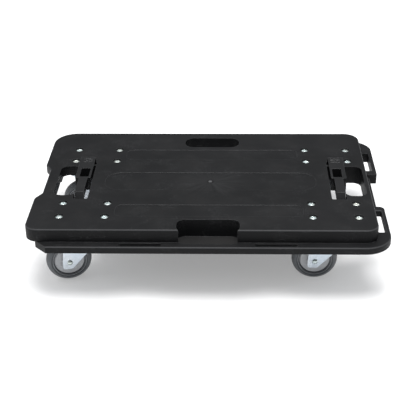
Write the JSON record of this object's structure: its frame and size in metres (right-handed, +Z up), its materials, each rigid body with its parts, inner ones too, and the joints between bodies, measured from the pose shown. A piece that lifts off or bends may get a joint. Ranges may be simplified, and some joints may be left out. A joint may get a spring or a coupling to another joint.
{
  "type": "furniture dolly",
  "caption": "Low black plastic furniture dolly with a ribbed rectangular deck, hand openings, interlocking edges and swivel casters.",
  "frame": {"origin": "on the floor, under the middle of the overall footprint", "axes": "+X along the long side towards the flange with the loops, +Y towards the rear hand slot, +Z up"},
  "size_m": [0.58, 0.376, 0.125],
  "materials": {
    "black_polypropylene": "satin moulded, fine grain",
    "zinc_plated_steel": "pressed steel, bright zinc plating with a blue cast",
    "screw_zinc": "zinc plated",
    "ball_steel": "polished, greased",
    "grey_nylon": "moulded, matt",
    "grey_rubber": "soft thermoplastic rubber, matt"
  },
  "bodies": {
    "deck": {"deck": "black_polypropylene", "left_strap_hook": "black_polypropylene", "right_strap_hook": "black_polypropylene", "deck_screws": "screw_zinc", "deck_nuts": "screw_zinc", "deck_washers": "screw_zinc", "front_left_mounting_plate": "zinc_plated_steel", "front_left_upper_balls": "ball_steel", "front_left_lower_balls": "ball_steel", "front_left_lower_race": "zinc_plated_steel", "front_left_king_pin": "zinc_plated_steel", "front_right_mounting_plate": "zinc_plated_steel", "front_right_upper_balls": "ball_steel", "front_right_lower_balls": "ball_steel", "front_right_lower_race": "zinc_plated_steel", "front_right_king_pin": "zinc_plated_steel", "rear_left_mounting_plate": "zinc_plated_steel", "rear_left_upper_balls": "ball_steel", "rear_left_lower_balls": "ball_steel", "rear_left_lower_race": "zinc_plated_steel", "rear_left_king_pin": "zinc_plated_steel", "rear_right_mounting_plate": "zinc_plated_steel", "rear_right_upper_balls": "ball_steel", "rear_right_lower_balls": "ball_steel", "rear_right_lower_race": "zinc_plated_steel", "rear_right_king_pin": "zinc_plated_steel"},
    "front_left_swivel": {"front_left_fork": "zinc_plated_steel", "front_left_axle_bolt": "zinc_plated_steel", "front_left_axle_nut": "zinc_plated_steel", "front_left_axle_sleeve": "zinc_plated_steel"},
    "front_left_wheel": {"front_left_wheel_core": "grey_nylon", "front_left_tyre": "grey_rubber"},
    "front_right_swivel": {"front_right_fork": "zinc_plated_steel", "front_right_axle_bolt": "zinc_plated_steel", "front_right_axle_nut": "zinc_plated_steel", "front_right_axle_sleeve": "zinc_plated_steel"},
    "front_right_wheel": {"front_right_wheel_core": "grey_nylon", "front_right_tyre": "grey_rubber"},
    "rear_left_swivel": {"rear_left_fork": "zinc_plated_steel", "rear_left_axle_bolt": "zinc_plated_steel", "rear_left_axle_nut": "zinc_plated_steel", "rear_left_axle_sleeve": "zinc_plated_steel"},
    "rear_left_wheel": {"rear_left_wheel_core": "grey_nylon", "rear_left_tyre": "grey_rubber"},
    "rear_right_swivel": {"rear_right_fork": "zinc_plated_steel", "rear_right_axle_bolt": "zinc_plated_steel", "rear_right_axle_nut": "zinc_plated_steel", "rear_right_axle_sleeve": "zinc_plated_steel"},
    "rear_right_wheel": {"rear_right_wheel_core": "grey_nylon", "rear_right_tyre": "grey_rubber"}
  },
  "joints": [
    {"name": "front_left_swivel_turn", "type": "hinge", "parent": "deck", "child": "front_left_swivel", "pos_m": [-0.2031, -0.1063, 0.09], "axis": [0, 0, 1], "continuous": true},
    {"name": "front_left_wheel_spin", "type": "hinge", "parent": "front_left_swivel", "child": "front_left_wheel", "pos_m": [-0.23208, -0.11406, 0.0375], "axis": [-0.2588, 0.9659, 0], "continuous": true},
    {"name": "front_right_swivel_turn", "type": "hinge", "parent": "deck", "child": "front_right_swivel", "pos_m": [0.2031, -0.1063, 0.09], "axis": [0, 0, 1], "continuous": true},
    {"name": "front_right_wheel_spin", "type": "hinge", "parent": "front_right_swivel", "child": "front_right_wheel", "pos_m": [0.1731, -0.1063, 0.0375], "axis": [0, 1, 0], "continuous": true},
    {"name": "rear_left_swivel_turn", "type": "hinge", "parent": "deck", "child": "rear_left_swivel", "pos_m": [-0.2031, 0.0943, 0.09], "axis": [0, 0, 1], "continuous": true},
    {"name": "rear_left_wheel_spin", "type": "hinge", "parent": "rear_left_swivel", "child": "rear_left_wheel", "pos_m": [-0.2331, 0.0943, 0.0375], "axis": [0, 1, 0], "continuous": true},
    {"name": "rear_right_swivel_turn", "type": "hinge", "parent": "deck", "child": "rear_right_swivel", "pos_m": [0.2031, 0.0943, 0.09], "axis": [0, 0, 1], "continuous": true},
    {"name": "rear_right_wheel_spin", "type": "hinge", "parent": "rear_right_swivel", "child": "rear_right_wheel", "pos_m": [0.1731, 0.0943, 0.0375], "axis": [0, 1, 0], "continuous": true}
  ]
}
